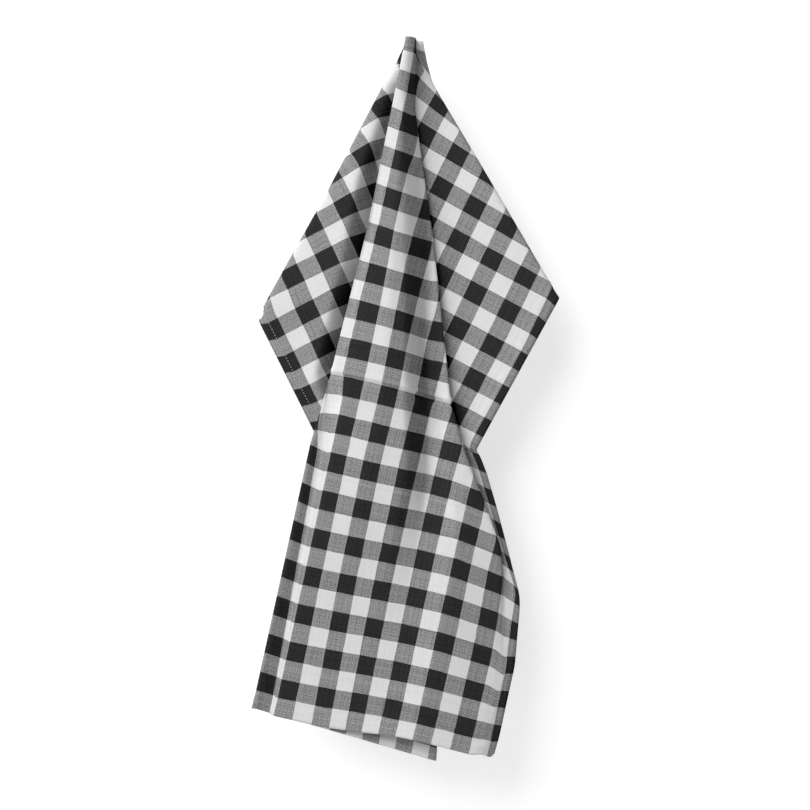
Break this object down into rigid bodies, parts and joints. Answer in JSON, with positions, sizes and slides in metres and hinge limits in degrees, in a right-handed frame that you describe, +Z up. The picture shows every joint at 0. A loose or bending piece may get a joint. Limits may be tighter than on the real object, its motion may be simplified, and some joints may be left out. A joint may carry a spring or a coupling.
{
  "type": "tea towel",
  "caption": "Black and white gingham cotton tea towel, hung by the middle of its top hem in a folded cone",
  "frame": {"origin": "the hang point, at the top of the towel", "axes": "+Z up; front faces -Y; +X to the right as seen from the front"},
  "size_m": [0.3115, 0.084, 0.7347],
  "materials": {
    "cloth": "matt plain-weave cotton, soft"
  },
  "bodies": {
    "root": {"towel": "cloth"}
  },
  "joints": []
}
